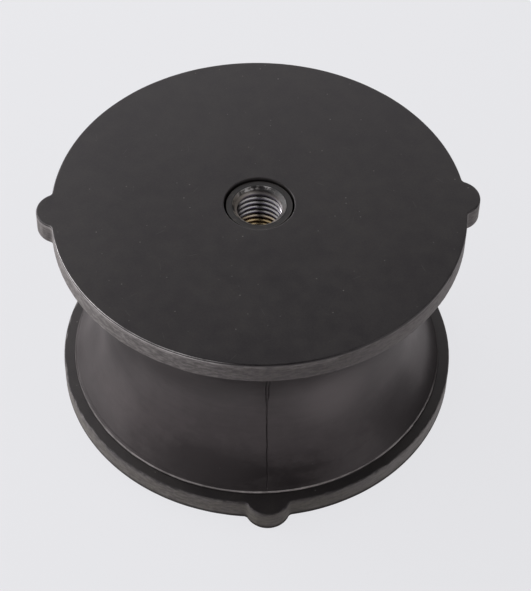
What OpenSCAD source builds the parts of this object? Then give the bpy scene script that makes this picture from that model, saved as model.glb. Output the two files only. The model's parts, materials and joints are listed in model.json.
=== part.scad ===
// Bonded rubber mount: an hourglass rubber block between two eared steel plates.
// Each plate has a threaded insert at its centre, with its shoulder set in the rubber.
// The mount stands on its bottom plate, with the origin at the centre of that plate's outer face.

/* [Mount] */
// Height over both plates
mount_h = 95; // [70:1:140]

/* [Plates] */
// Diameter of a plate, without its ears
plate_d = 160; // [120:1:220]
// Thickness of a plate
plate_t = 9.5; // [6:0.5:14]
// Width of the chamfer along a plate's edges
plate_edge = 0.8; // [0.2:0.1:1.5]

/* [Ears] */
// Radius of an ear's round end
ear_r = 9; // [6:0.5:14]
// How far an ear stands out past the plate's rim
ear_reach = 5.5; // [4:0.5:8]
// Radius of the blend between an ear and the rim
ear_blend_r = 2; // [1:0.5:4]
// Turn of the bottom plate's ears against the top plate's
ear_turn = 90; // [0:5:180]

/* [Rubber] */
// How far the rubber's lip stays inside the plate's rim
lip_inset = 4.5; // [2:0.5:10]
// Width of the flat on top of the lip
lip_w = 0.5; // [0.2:0.1:3]
// Height of the lip on the plate
lip_h = 1; // [0.5:0.1:3]
// How far the waist is drawn in from the inside of the lip
waist_depth = 13; // [6:0.5:24]
// Width of the mould's parting groove
seam_w = 1.4; // [0.6:0.1:3]
// Depth of the mould's parting groove
seam_depth = 0.4; // [0.2:0.1:1]

/* [Threaded inserts] */
// Core diameter of the thread
thread_core_d = 17.3; // [8:0.1:26]
// Width of the chamfer at the thread's mouth
mouth_chamfer = 1.8; // [0.5:0.1:3]
// Wall of the pilot around the thread's core
pilot_wall = 4.2; // [3.5:0.1:8]
// How far the pilot's face lies below the plate's face
pilot_recess = 1; // [0.2:0.1:3]
// Clear gap around the pilot in the plate's hole
pilot_gap = 0.85; // [0.2:0.05:2]
// How far the shoulder stands out past the pilot
shoulder_w = 6; // [3:0.5:12]
// Length of the shoulder under the plate
shoulder_l = 22; // [16:1:26]
// Thickness left below the drilled hole
insert_floor = 3; // [2:0.5:6]
// Point angle of the drilled hole
drill_angle = 118; // [90:1:140]

/* [Hidden] */
$fn = 128;

RUBBER = [0.25, 0.24, 0.24];
BLACK_COAT = [0.21, 0.21, 0.22];
TURNED_STEEL = [0.66, 0.63, 0.58];

// How far a cutter runs past the solid that it cuts
overcut = 1;

plate_r = plate_d / 2;
mid_z = mount_h / 2;

// How far the blend's circle crosses the rim and the ear, so that its wall meets theirs at a clean edge
blend_bite = 0.06;

// An ear's centre, and the centre of the blend that joins it to the rim
ear_x = plate_r + ear_reach - ear_r;
blend_orbit = plate_r + ear_blend_r - blend_bite;
blend_to_ear = ear_r + ear_blend_r - blend_bite;
blend_turn = acos((blend_orbit ^ 2 + ear_x ^ 2 - blend_to_ear ^ 2) / (2 * blend_orbit * ear_x));
blend_at = blend_orbit * [cos(blend_turn), sin(blend_turn)];

// The rubber's side is one arc from lip to lip, through the waist
lip_r = plate_r - lip_inset;
flare_r = lip_r - lip_w;
flare_z = plate_t + lip_h;
waist_r = flare_r - waist_depth;
arc_rise = mid_z - flare_z;
arc_r = (arc_rise ^ 2 + waist_depth ^ 2) / (2 * waist_depth);
arc_x = waist_r + arc_r;

// The insert's steps, measured down from the plate's outer face
core_r = thread_core_d / 2;
pilot_r = core_r + pilot_wall;
shoulder_r = pilot_r + shoulder_w;
insert_end = plate_t + shoulder_l;
drill_tip = insert_end - insert_floor;
drill_rim = drill_tip - core_r / tan(drill_angle / 2);

// A disc from z = 0 up, with both of its edges chamfered
module chamfered_disc(r, h, edge) {
    rotate_extrude()
        polygon([[0, 0], [r - edge, 0], [r, edge], [r, h - edge], [r - edge, h], [0, h]]);
}

// The web that fills the corner between an ear and the rim, with the plate's chamfer on both faces
module ear_web() {
    difference() {
        linear_extrude(plate_t)
            polygon([[0, 0], [ear_x, 0], blend_at]);
        translate(blend_at)
            rotate_extrude()
                polygon([
                    [0, -plate_edge],
                    [ear_blend_r + 2 * plate_edge, -plate_edge],
                    [ear_blend_r, plate_edge],
                    [ear_blend_r, plate_t - plate_edge],
                    [ear_blend_r + 2 * plate_edge, plate_t + plate_edge],
                    [0, plate_t + plate_edge]
                ]);
    }
}

// One ear with the webs on its two sides
module ear() {
    translate([ear_x, 0, 0])
        chamfered_disc(ear_r, plate_t, plate_edge);
    ear_web();
    mirror([0, 1, 0])
        ear_web();
}

// A plate that lies on z = 0 with its outer face down and its ears on the X axis
module end_plate() {
    difference() {
        union() {
            chamfered_disc(plate_r, plate_t, plate_edge);
            for (side = [0, 180])
                rotate(side)
                    ear();
        }
        translate([0, 0, -overcut])
            cylinder(r = pilot_r + pilot_gap, h = plate_t + 2 * overcut);
    }
}

// A bush with a blind tapped hole, its mouth facing down, with the plate's outer face at z = 0
module threaded_insert() {
    rotate_extrude()
        polygon([
            [core_r + mouth_chamfer, pilot_recess],
            [pilot_r, pilot_recess],
            [pilot_r, plate_t],
            [shoulder_r, plate_t],
            [shoulder_r, insert_end],
            [0, insert_end],
            [0, drill_tip],
            [core_r, drill_rim],
            [core_r, pilot_recess + mouth_chamfer]
        ]);
}

// Places an end piece, modelled over z = 0, under the top face
module at_top() {
    translate([0, 0, mount_h])
        mirror([0, 0, 1])
            children();
}

// Half section of the rubber: a lip at each plate and one arc between them
module rubber_section() {
    difference() {
        translate([0, plate_t])
            square([lip_r, mount_h - 2 * plate_t]);
        intersection() {
            translate([arc_x, mid_z])
                circle(r = arc_r);
            translate([0, flare_z])
                square([lip_r + overcut, 2 * arc_rise]);
        }
    }
}

// Cutter for the parting groove on the +Y side, which follows the arc at an even depth
module seam_cutter() {
    intersection() {
        translate([-seam_w / 2, arc_x, mid_z])
            rotate([0, 90, 0])
                cylinder(r = arc_r + seam_depth, h = seam_w);
        translate([-seam_w, 0, flare_z])
            cube([2 * seam_w, lip_r + overcut, 2 * arc_rise]);
    }
}

module rubber_body() {
    color(RUBBER)
        difference() {
            rotate_extrude()
                rubber_section();
            for (side = [0, 180])
                rotate(side)
                    seam_cutter();
            translate([0, 0, plate_t - overcut])
                cylinder(r = shoulder_r, h = shoulder_l + overcut);
            translate([0, 0, mount_h - insert_end])
                cylinder(r = shoulder_r, h = shoulder_l + overcut);
        }
}

module top_plate() {
    color(BLACK_COAT)
        at_top()
            end_plate();
}

module bottom_plate() {
    color(BLACK_COAT)
        rotate(ear_turn)
            end_plate();
}

module top_threaded_insert() {
    color(TURNED_STEEL)
        at_top()
            threaded_insert();
}

module bottom_threaded_insert() {
    color(TURNED_STEEL)
        threaded_insert();
}

rubber_body();
top_plate();
bottom_plate();
top_threaded_insert();
bottom_threaded_insert();
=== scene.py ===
"""Looks of a bonded rubber mount: an hourglass rubber block between two eared steel plates.

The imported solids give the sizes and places. A finer piece stands for each of them: plates with rounded and
rubbed edges, rubber with its lips and the mould's parting groove, and inserts with their threads.
"""

import json
import logging
import math
from collections.abc import Iterable
from dataclasses import dataclass
from enum import Enum
from typing import Any

import bpy
import numpy as np
from mathutils import Matrix, Vector


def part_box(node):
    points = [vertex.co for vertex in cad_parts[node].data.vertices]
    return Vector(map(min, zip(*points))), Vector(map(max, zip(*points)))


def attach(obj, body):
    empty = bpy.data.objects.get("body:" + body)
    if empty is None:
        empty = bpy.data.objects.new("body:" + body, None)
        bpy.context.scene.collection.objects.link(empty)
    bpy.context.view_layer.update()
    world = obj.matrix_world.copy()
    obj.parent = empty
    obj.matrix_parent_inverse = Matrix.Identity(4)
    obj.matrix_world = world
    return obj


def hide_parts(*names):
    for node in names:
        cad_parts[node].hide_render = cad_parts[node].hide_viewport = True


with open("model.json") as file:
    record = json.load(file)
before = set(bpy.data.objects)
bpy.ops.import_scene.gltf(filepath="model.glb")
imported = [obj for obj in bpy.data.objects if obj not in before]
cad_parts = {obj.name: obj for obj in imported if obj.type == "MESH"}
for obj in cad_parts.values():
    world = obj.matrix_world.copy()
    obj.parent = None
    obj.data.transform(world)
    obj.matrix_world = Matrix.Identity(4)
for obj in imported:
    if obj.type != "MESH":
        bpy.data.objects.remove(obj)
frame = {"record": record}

LOG = logging.getLogger("rubber_mount")
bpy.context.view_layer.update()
BODY = "root"
MM = 0.001

Colour = tuple[float, float, float]


class End(Enum):
    """The two ends of the mount."""

    BOTTOM = "bottom"
    TOP = "top"


PLATE_SEEDS = {End.BOTTOM: 11, End.TOP: 23}


class Slot(Enum):
    """The record's finishes."""

    RUBBER = "rubber"
    BLACK_COAT = "black_coat"
    TURNED_STEEL = "turned_steel"


class Term:
    """A node's output that Python's operators work on."""

    def __init__(self, tree: "Tree", socket: bpy.types.NodeSocket) -> None:
        """Wraps one output socket of a tree."""
        self.tree = tree
        self.socket = socket

    def __add__(self, other: "Number") -> "Term":
        """Gives self + other."""
        return self.tree.maths("ADD", self, other)

    def __radd__(self, other: "Number") -> "Term":
        """Gives other + self."""
        return self.tree.maths("ADD", other, self)

    def __sub__(self, other: "Number") -> "Term":
        """Gives self - other."""
        return self.tree.maths("SUBTRACT", self, other)

    def __rsub__(self, other: "Number") -> "Term":
        """Gives other - self."""
        return self.tree.maths("SUBTRACT", other, self)

    def __mul__(self, other: "Number") -> "Term":
        """Gives self * other."""
        return self.tree.maths("MULTIPLY", self, other)

    def __rmul__(self, other: "Number") -> "Term":
        """Gives other * self."""
        return self.tree.maths("MULTIPLY", other, self)

    def __truediv__(self, other: "Number") -> "Term":
        """Gives self / other."""
        return self.tree.maths("DIVIDE", self, other)

    def __rtruediv__(self, other: "Number") -> "Term":
        """Gives other / self."""
        return self.tree.maths("DIVIDE", other, self)

    def __neg__(self) -> "Term":
        """Gives -self."""
        return self.tree.maths("MULTIPLY", self, -1.0)

    def __abs__(self) -> "Term":
        """Gives the size of self without its sign."""
        return self.tree.maths("ABSOLUTE", self)

    def sin(self) -> "Term":
        """Gives the sine of self in radians."""
        return self.tree.maths("SINE", self)

    def cos(self) -> "Term":
        """Gives the cosine of self in radians."""
        return self.tree.maths("COSINE", self)

    def fraction(self) -> "Term":
        """Gives what is left of self above a whole number."""
        return self.tree.maths("FRACT", self)

    def at_least(self, limit: "Number") -> "Term":
        """Gives the larger of self and a limit."""
        return self.tree.maths("MAXIMUM", self, limit)

    def at_most(self, limit: "Number") -> "Term":
        """Gives the smaller of self and a limit."""
        return self.tree.maths("MINIMUM", self, limit)

    def rise(self, low: "Number", high: "Number") -> "Term":
        """Gives a smooth step from 0 at low to 1 at high."""
        return self.tree.map_range("SMOOTHSTEP", self, low, high)

    def swing(self, size: float) -> "Term":
        """Turns noise about 0.5 into a swing of a size about 0."""
        return (self - 0.5) * size

    def ramp(self, low: "Number", high: "Number") -> "Term":
        """Gives a straight step from 0 at low to 1 at high."""
        return self.tree.map_range("LINEAR", self, low, high)


Number = Term | float


class Tree:
    """A node tree of any kind, with its nodes made from Python expressions."""

    def __init__(self, group: bpy.types.NodeTree) -> None:
        """Takes an empty node tree."""
        self.group = group

    @staticmethod
    def find(sockets: Iterable[bpy.types.NodeSocket], name: str) -> bpy.types.NodeSocket:
        """Finds a socket of a node.

        Args:
            sockets: The node's inputs or outputs.
            name: The socket's identifier, or else its name.

        Returns:
            The first socket that fits.
        """
        listed = list(sockets)
        return ([s for s in listed if s.identifier == name] + [s for s in listed if s.name == name])[0]

    def node(
        self, kind: str, settings: dict[str, Any] | None = None, inputs: dict[str, Any] | None = None
    ) -> bpy.types.Node:
        """Adds a node.

        Args:
            kind: Blender's name for the node's type.
            settings: The node's own settings, which are set before its sockets.
            inputs: A value, a term to link or a list of terms for each named input.

        Returns:
            The new node.
        """
        made = self.group.nodes.new(kind)
        for name, value in (settings or {}).items():
            setattr(made, name, value)
        for name, value in (inputs or {}).items():
            socket = self.find(made.inputs, name)
            for one in value if isinstance(value, list) else [value]:
                if isinstance(one, Term):
                    self.group.links.new(one.socket, socket)
                else:
                    socket.default_value = one
        return made

    def term(self, node: bpy.types.Node, name: str) -> Term:
        """Gives a node's named output as a term."""
        return Term(self, self.find(node.outputs, name))

    def maths(self, operation: str, *values: Number) -> Term:
        """Adds a Math node.

        Args:
            operation: The node's operation.
            values: Its one to three inputs.

        Returns:
            The node's result.
        """
        names = ("Value", "Value_001", "Value_002")
        made = self.node("ShaderNodeMath", {"operation": operation}, dict(zip(names, values)))
        return self.term(made, "Value")

    def map_range(self, shape: str, value: Term, low: Number, high: Number) -> Term:
        """Adds a clamped Map Range node from low and high to 0 and 1.

        Args:
            shape: The node's interpolation.
            value: What is mapped.
            low: The value that gives 0.
            high: The value that gives 1.

        Returns:
            The node's result.
        """
        inputs = {"Value": value, "From Min": low, "From Max": high, "To Min": 0.0, "To Max": 1.0}
        made = self.node("ShaderNodeMapRange", {"interpolation_type": shape, "clamp": True}, inputs)
        return self.term(made, "Result")

    def vector(self, operation: str, **inputs: Any) -> Term:
        """Adds a Vector Math node.

        Args:
            operation: The node's operation.
            inputs: Its inputs by identifier.

        Returns:
            The node's vector.
        """
        return self.term(self.node("ShaderNodeVectorMath", {"operation": operation}, inputs), "Vector")

    def join(self, x: Number, y: Number, z: Number) -> Term:
        """Makes a vector of three numbers."""
        return self.term(self.node("ShaderNodeCombineXYZ", inputs={"X": x, "Y": y, "Z": z}), "Vector")

    def split(self, vector: Term) -> tuple[Term, Term, Term]:
        """Takes a vector apart into three numbers."""
        made = self.node("ShaderNodeSeparateXYZ", inputs={"Vector": vector})
        return self.term(made, "X"), self.term(made, "Y"), self.term(made, "Z")

    def noise_at(self, place: Term, size: float, detail: float = 2.0, roughness: float = 0.5) -> Term:
        """Adds smooth noise.

        Args:
            place: Where the noise is read.
            size: The width of one patch, in the unit of the place.
            detail: How many finer layers lie on it.
            roughness: How strong the finer layers are.

        Returns:
            The noise, about 0.5 in the middle.
        """
        inputs = {"Vector": place, "Scale": 1.0 / size, "Detail": detail, "Roughness": roughness}
        made = self.node("ShaderNodeTexNoise", inputs=inputs)
        return Term(self, made.outputs[0])


class FinishTree(Tree):
    """The node tree of one material, with places measured in millimetres."""

    def __init__(self, name: str) -> None:
        """Starts a material with an empty tree."""
        self.material = bpy.data.materials.new(name)
        self.material.use_nodes = True
        self.material.node_tree.nodes.clear()
        super().__init__(self.material.node_tree)
        metres = self.term(self.node("ShaderNodeTexCoord"), "Object")
        self.place = self.vector("SCALE", Vector=metres, Scale=1.0 / MM)
        self.x, self.y, self.z = self.split(self.place)
        self.radius = self.maths("SQRT", self.x * self.x + self.y * self.y)

    def facing(self, azimuth: float) -> Term:
        """Tells how far a place faces a side of the mount.

        Args:
            azimuth: Degrees round the mount from the front, with the right-hand side at 90.

        Returns:
            The cosine of the angle between the place and that side, seen from above.
        """
        way = math.radians(azimuth)
        return (self.x * math.sin(way) - self.y * math.cos(way)) / self.radius.at_least(1.0)

    def stretched(self, x: float, y: float, z: float) -> Term:
        """Gives the place with each axis scaled: a pattern on it is drawn out along the small ones."""
        return self.vector("MULTIPLY", Vector=self.place, Vector_001=(x, y, z))

    def noise(self, size: float, detail: float = 2.0, roughness: float = 0.5) -> Term:
        """Adds noise with patches of a size in millimetres."""
        return self.noise_at(self.place, size, detail, roughness)

    def specks(self, spacing: float, radius: float, share: float) -> Term:
        """Scatters small round specks.

        Args:
            spacing: The usual distance between places for a speck, in millimetres.
            radius: A speck's radius, in millimetres.
            share: How many of the places hold a speck, from 0 to 1.

        Returns:
            A mask that is 1 on a speck.
        """
        cells = self.node("ShaderNodeTexVoronoi", inputs={"Vector": self.place, "Scale": 1.0 / spacing})
        chance, strength, _ = self.split(self.term(cells, "Color"))
        spot = 1.0 - (self.term(cells, "Distance") * spacing).rise(radius * 0.4, radius)
        return spot * chance.rise(1.0 - share, 1.0 - share * 0.9) * (strength * 0.7 + 0.3)

    def scratches(self, spacing: float, length: float, width: float, share: float) -> Term:
        """Scatters short straight scratches over the flat faces.

        Args:
            spacing: The usual distance between places for a scratch, in millimetres.
            length: Half the length of a scratch, in millimetres.
            width: Half its width, in millimetres.
            share: How many of the places hold a scratch, from 0 to 1.

        Returns:
            A mask that is 1 on a scratch.
        """
        inputs = {"Vector": self.place, "Scale": 1.0 / spacing}
        cells = self.node("ShaderNodeTexVoronoi", {"voronoi_dimensions": "2D"}, inputs)
        chance, strength, turn = self.split(self.term(cells, "Color"))
        away = self.vector("SUBTRACT", Vector=self.place, Vector_001=self.term(cells, "Position"))
        x, y, _ = self.split(away)
        angle = turn * math.pi
        along, across = x * angle.cos() + y * angle.sin(), y * angle.cos() - x * angle.sin()
        line = (1.0 - abs(across).rise(width * 0.3, width)) * (1.0 - abs(along).rise(length * 0.3, length))
        return line * chance.rise(1.0 - share, 1.0 - share * 0.9) * (strength * 0.7 + 0.3)

    def attribute(self, name: str) -> Term:
        """Reads a number that the mesh carries."""
        return self.term(self.node("ShaderNodeAttribute", {"attribute_name": name}), "Fac")

    def mix(self, share: Number, first: Term | Colour, second: Term | Colour) -> Term:
        """Mixes two colours, with share 0 for the first and 1 for the second."""
        pair = {"Factor_Float": share, "A_Color": self.opaque(first), "B_Color": self.opaque(second)}
        return self.term(self.node("ShaderNodeMix", {"data_type": "RGBA"}, pair), "Result_Color")

    @staticmethod
    def opaque(colour: Term | Colour) -> Any:
        """Gives a plain colour its fourth number."""
        return colour if isinstance(colour, Term) else (*colour, 1.0)

    def relief(self, height: Term, strength: float = 1.0) -> Term:
        """Turns a height in millimetres into a normal."""
        inputs = {"Height": height, "Distance": MM, "Strength": strength}
        return self.term(self.node("ShaderNodeBump", inputs=inputs), "Normal")

    def surface(self, **inputs: Any) -> bpy.types.Material:
        """Ends the material in one Principled shader.

        Args:
            inputs: The shader's inputs, with an underscore for each space in a name.

        Returns:
            The finished material.
        """
        named = {name.replace("_", " "): value for name, value in inputs.items()}
        shader = self.node("ShaderNodeBsdfPrincipled", inputs=named)
        self.node("ShaderNodeOutputMaterial", inputs={"Surface": self.term(shader, "BSDF")})
        return self.material


@dataclass(frozen=True)
class BlackCoat:
    """Satin black coat on a blanked plate: even on its faces, thin and streaked on its sheared walls.

    Attributes:
        face: Colour of the faces.
        wall: Colour of the walls.
        burnished_and_lit: Colour of the strip of a wall that the punch has polished, and of the painted light
            on the walls of the lit sides.
        rubbed: Colour where the coat is rubbed thin.
        bare: Colour of the steel along a bare edge.
        speck: Colour of the light specks on the faces.
        dust: Colour of the dust in the grain, also painted on the bottom plate's face as light on its lit
            sides.
        grime_and_shade: Colour of the painted shade in the hole around the insert and at the foot, and of the
            dirt in pits.
        face_roughness: Roughness of the faces.
        wall_roughness: Roughness of the walls and of their torn edges.
        edge_roughness: Roughness of the smooth edges.
        gloss: Level of the coat's plain reflection.
        sheen: Tint of that reflection.
        rubbed_at: Middle of the rubbed stretch of the edge, in degrees round the mount from the front.
        left_lit_at: Middle of the left side, on which the walls, the chips of the torn edges and the bottom
            plate's face are painted lighter as light, in the same way.
        right_lit_at: Middle of the right side, on which the walls and the bottom plate's face are painted
            lighter as light, in the same way.
        low_span: Heights between which the bottom plate ends, where the polished strip and the painted light
            on its left walls are weaker, the painted light on its right walls is stronger and painted light
            lies on its face, in millimetres.
        dust_span: Heights between which the floor's dust on a wall ends, in millimetres.
        foot_shade_span: Heights between which the painted shade at the foot ends, in millimetres.
        foot_roughness: Roughness of the painted shade at the foot.
    """

    face: Colour = (0.0124, 0.0106, 0.0120)
    wall: Colour = (0.058, 0.051, 0.052)
    burnished_and_lit: Colour = (0.260, 0.243, 0.238)
    rubbed: Colour = (0.19, 0.176, 0.172)
    bare: Colour = (0.60, 0.58, 0.575)
    speck: Colour = (0.17, 0.16, 0.152)
    dust: Colour = (0.100, 0.093, 0.074)
    grime_and_shade: Colour = (0.014, 0.0122, 0.0125)
    face_roughness: float = 0.43
    wall_roughness: float = 0.55
    edge_roughness: float = 0.28
    gloss: float = 0.5
    sheen: Colour = (1.0, 0.93, 0.98)
    rubbed_at: float = 312.0
    left_lit_at: float = 300.0
    right_lit_at: float = 75.0
    low_span: tuple[float, float] = (20.0, 30.0)
    dust_span: tuple[float, float] = (6.0, 9.5)
    foot_shade_span: tuple[float, float] = (1.0, 2.6)
    foot_roughness: float = 0.95

    def material(self) -> bpy.types.Material:
        """Makes the coat's material.

        Returns:
            The material, which reads the marks that the plate's mesh carries.
        """
        tree = FinishTree("black_coat")
        wall, edge, torn, strip, hole = (tree.attribute(mark.value) for mark in Mark)
        clouds, blotches, grain = tree.noise(40.0, 2.0), tree.noise(6.0, 3.0), tree.noise(0.6, 2.0)
        upright = tree.noise_at(tree.stretched(1.0, 1.0, 0.16), 0.9, 3.0, 0.6)
        drawn = tree.noise_at(tree.stretched(0.14, 0.14, 1.0), 0.8, 3.0, 0.6)
        ragged = tree.noise_at(tree.stretched(0.18, 0.18, 0.8), 1.0, 4.0, 0.65)
        scratches = tree.scratches(12.0, 2.6, 0.11, 0.3)
        specks = tree.specks(2.4, 0.36, 0.22) * tree.noise(14.0, 1.0).rise(0.38, 0.62)
        pits = tree.specks(4.3, 0.42, 0.14)
        mottle = tree.noise_at(tree.stretched(0.26, 0.26, 0.8), 0.8, 4.0, 0.65)

        # Painted light: the walls, the torn edges and the bottom plate's face are painted lighter on the left
        # and right sides, where the lamps fall.
        left_lit_side = tree.facing(self.left_lit_at).rise(0.45, 0.95)
        right_lit_side = tree.facing(self.right_lit_at).rise(0.5, 0.98)
        low_down, near_floor, foot = (
            1.0 - tree.z.rise(*heights) for heights in (self.low_span, self.dust_span, self.foot_shade_span)
        )
        # Painted shade along the foot of the bottom plate's wall and edge, where it meets the floor.
        foot = foot * (wall + edge).at_most(1.0)
        floor_dust = near_floor * wall * (drawn * 0.5 + blotches * 0.5).rise(0.30, 0.56)
        streaks = (drawn * 0.6 + upright * 0.4).rise(0.42, 0.62) * wall
        veil_and_light = blotches.swing(0.16) + grain.swing(0.18) + clouds.swing(0.12) + 0.05
        # Painted light on the bottom plate's face, on its left and right sides.
        veil_and_light = veil_and_light + low_down * (1.0 - wall) * (right_lit_side * 0.08 + left_lit_side * 0.06)
        bare = (0.62 + blotches.swing(1.5) + grain.swing(0.8)).at_most(1.0).at_least(0.1)
        bare = bare * edge.rise(0.25, 0.75) * tree.facing(self.rubbed_at).rise(0.76, 0.88)
        # Real chips on the torn edges, painted stronger on the lit left side as light.
        chips = torn * (ragged * 0.5 + mottle * 0.5).rise(0.47, 0.58) * (left_lit_side * 0.8 + 0.2)
        gaps = torn * (1.0 - ragged).rise(0.50, 0.60)
        # The punch's strip and the mottles are real; their weight to the left and the colour on the whole
        # left wall are painted light.
        burnish_and_light = strip * (0.15 + ragged.rise(0.42, 0.62) * 0.65) * (left_lit_side * 0.6 + 0.4)
        burnish_and_light = burnish_and_light + wall * left_lit_side * (0.32 - low_down * 0.12)
        burnish_and_light = burnish_and_light + wall * mottle.rise(0.46, 0.66) * (left_lit_side * 0.34 + 0.08)
        # Painted light on the walls of the right side, strongest on the bottom plate.
        right_lit_wall = wall * right_lit_side * (0.36 + low_down * 0.34 - strip * 0.42)
        burnish_and_light = burnish_and_light * (1.0 - low_down * 0.35) + right_lit_wall

        colour = tree.mix(wall, self.face, self.wall)
        # Dust in the grain, with painted light on the bottom plate's face.
        colour = tree.mix(veil_and_light.at_least(0.0), colour, self.dust)
        colour = tree.mix((streaks * 0.4 + floor_dust * 0.6).at_most(1.0), colour, self.dust)
        # The punch's polished strip, with the painted light on the walls of the lit sides.
        colour = tree.mix(burnish_and_light.at_most(1.0), colour, self.burnished_and_lit)
        colour = tree.mix(wall * (1.0 - mottle).rise(0.46, 0.66) * 0.36, colour, self.face)
        colour = tree.mix(gaps * 0.8, tree.mix(chips * 0.25, colour, self.rubbed), self.face)
        colour = tree.mix(scratches * 0.2 * (1.0 - wall), colour, self.rubbed)
        colour = tree.mix(specks * 0.8 * (1.0 - wall), colour, self.speck)
        colour = tree.mix(bare, colour, self.bare)
        # Painted shade in the hole around the insert and at the foot, and real dirt in pits.
        colour = tree.mix((hole + pits * 0.5 + foot * 0.85).at_most(1.0), colour, self.grime_and_shade)

        rougher = self.wall_roughness - self.face_roughness
        coat = self.face_roughness + (wall + torn).at_most(1.0) * rougher
        roughness = coat + (self.edge_roughness - coat) * edge * (1.0 - foot)
        roughness = roughness + (self.foot_roughness - coat) * foot
        roughness = roughness + clouds.swing(0.08) + blotches.swing(0.08) + grain.swing(0.06)
        height = grain * 0.012 + blotches * 0.008 + torn * ragged * 0.2
        height = height + wall * (upright * 0.04 + drawn * 0.06)
        return tree.surface(
            Base_Color=colour, Roughness=roughness, Metallic=bare * 0.9,
            Normal=tree.relief(height), Specular_IOR_Level=self.gloss, Specular_Tint=tree.opaque(self.sheen),
        )


@dataclass(frozen=True)
class PaintedPatch:
    """A soft patch on the rubber's side, used for painted shade and for painted light.

    Attributes:
        azimuth: Degrees round the mount from the front, with the right-hand side at 90.
        height: Height of its middle, in millimetres.
        half_w: Half its width, in millimetres.
        half_h: Half its height, in millimetres.
        strength: How strong it is, from 0 to 1.
    """

    azimuth: float
    height: float
    half_w: float
    half_h: float
    strength: float


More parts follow.
